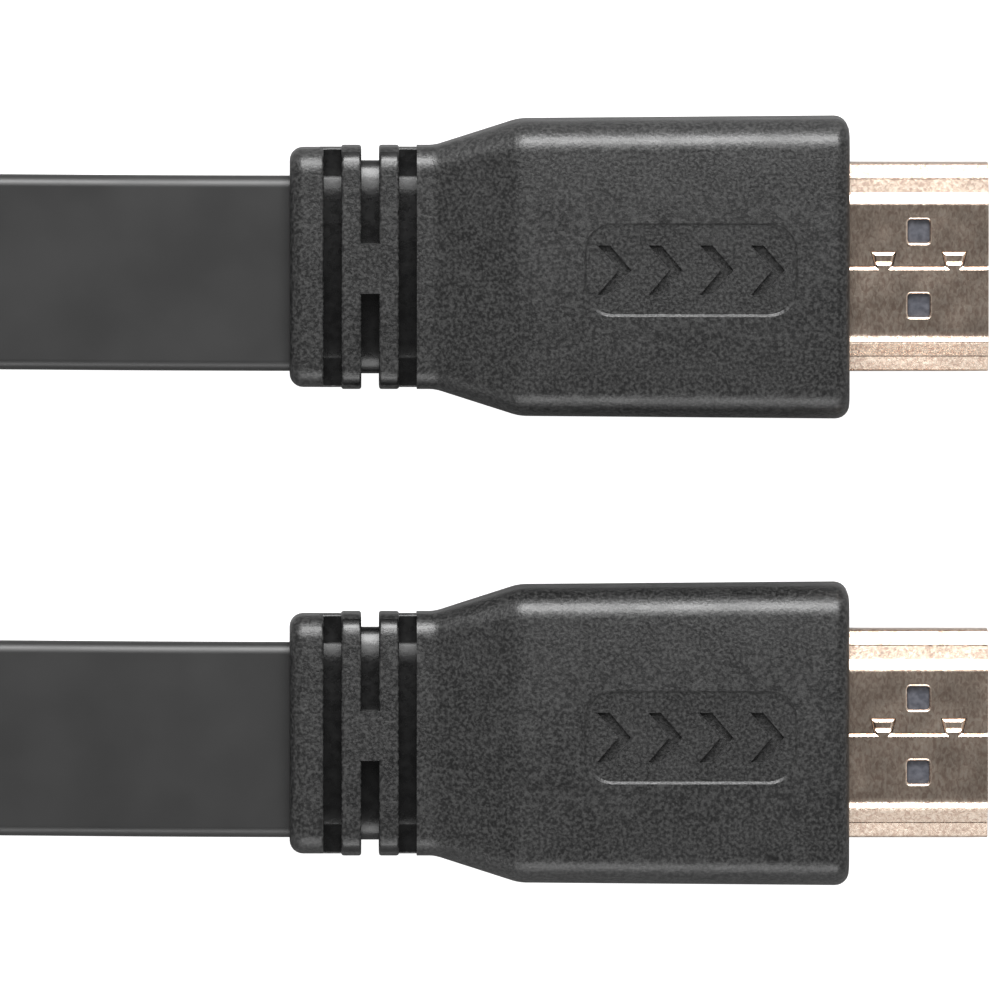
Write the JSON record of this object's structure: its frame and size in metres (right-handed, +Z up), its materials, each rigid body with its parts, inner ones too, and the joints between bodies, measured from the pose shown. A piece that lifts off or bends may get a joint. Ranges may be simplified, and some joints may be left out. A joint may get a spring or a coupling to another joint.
{
  "type": "digital video cable",
  "caption": "Flat digital video cable with a moulded plug at each end, both plugs side by side and the cable wound in a flat coil held by a tie.",
  "frame": {"origin": "on the floor, midway between the two plugs and midway along them", "axes": "+X along both plugs toward their tips, +Y from the lower plug in the picture to the upper one, +Z up, away from the floor and out of the plugs' engraved faces"},
  "size_m": [0.2566, 0.1204, 0.0141],
  "materials": {
    "moulding": "matt black PVC with a fine spark-eroded grain",
    "cable": "smooth satin dark grey PVC",
    "gilt": "polished pale gold plating with rolling marks",
    "carrier": "dark blue-grey moulded plastic",
    "contact": "gold-plated contact strip",
    "tie": "black plastic-coated wire tie"
  },
  "bodies": {
    "root": {"overmould_a": "moulding", "shell_a": "gilt", "carrier_a": "carrier", "contact_wide_1_a": "contact", "contact_wide_2_a": "contact", "contact_wide_3_a": "contact", "contact_wide_4_a": "contact", "contact_wide_5_a": "contact", "contact_wide_6_a": "contact", "contact_wide_7_a": "contact", "contact_wide_8_a": "contact", "contact_wide_9_a": "contact", "contact_wide_10_a": "contact", "contact_narrow_1_a": "contact", "contact_narrow_2_a": "contact", "contact_narrow_3_a": "contact", "contact_narrow_4_a": "contact", "contact_narrow_5_a": "contact", "contact_narrow_6_a": "contact", "contact_narrow_7_a": "contact", "contact_narrow_8_a": "contact", "contact_narrow_9_a": "contact", "overmould_b": "moulding", "shell_b": "gilt", "carrier_b": "carrier", "contact_wide_1_b": "contact", "contact_wide_2_b": "contact", "contact_wide_3_b": "contact", "contact_wide_4_b": "contact", "contact_wide_5_b": "contact", "contact_wide_6_b": "contact", "contact_wide_7_b": "contact", "contact_wide_8_b": "contact", "contact_wide_9_b": "contact", "contact_wide_10_b": "contact", "contact_narrow_1_b": "contact", "contact_narrow_2_b": "contact", "contact_narrow_3_b": "contact", "contact_narrow_4_b": "contact", "contact_narrow_5_b": "contact", "contact_narrow_6_b": "contact", "contact_narrow_7_b": "contact", "contact_narrow_8_b": "contact", "contact_narrow_9_b": "contact", "cable_run_a": "cable", "cable_run_b": "cable", "cable_middle": "cable", "cable_coil": "cable", "cable_tie": "tie"}
  },
  "joints": []
}
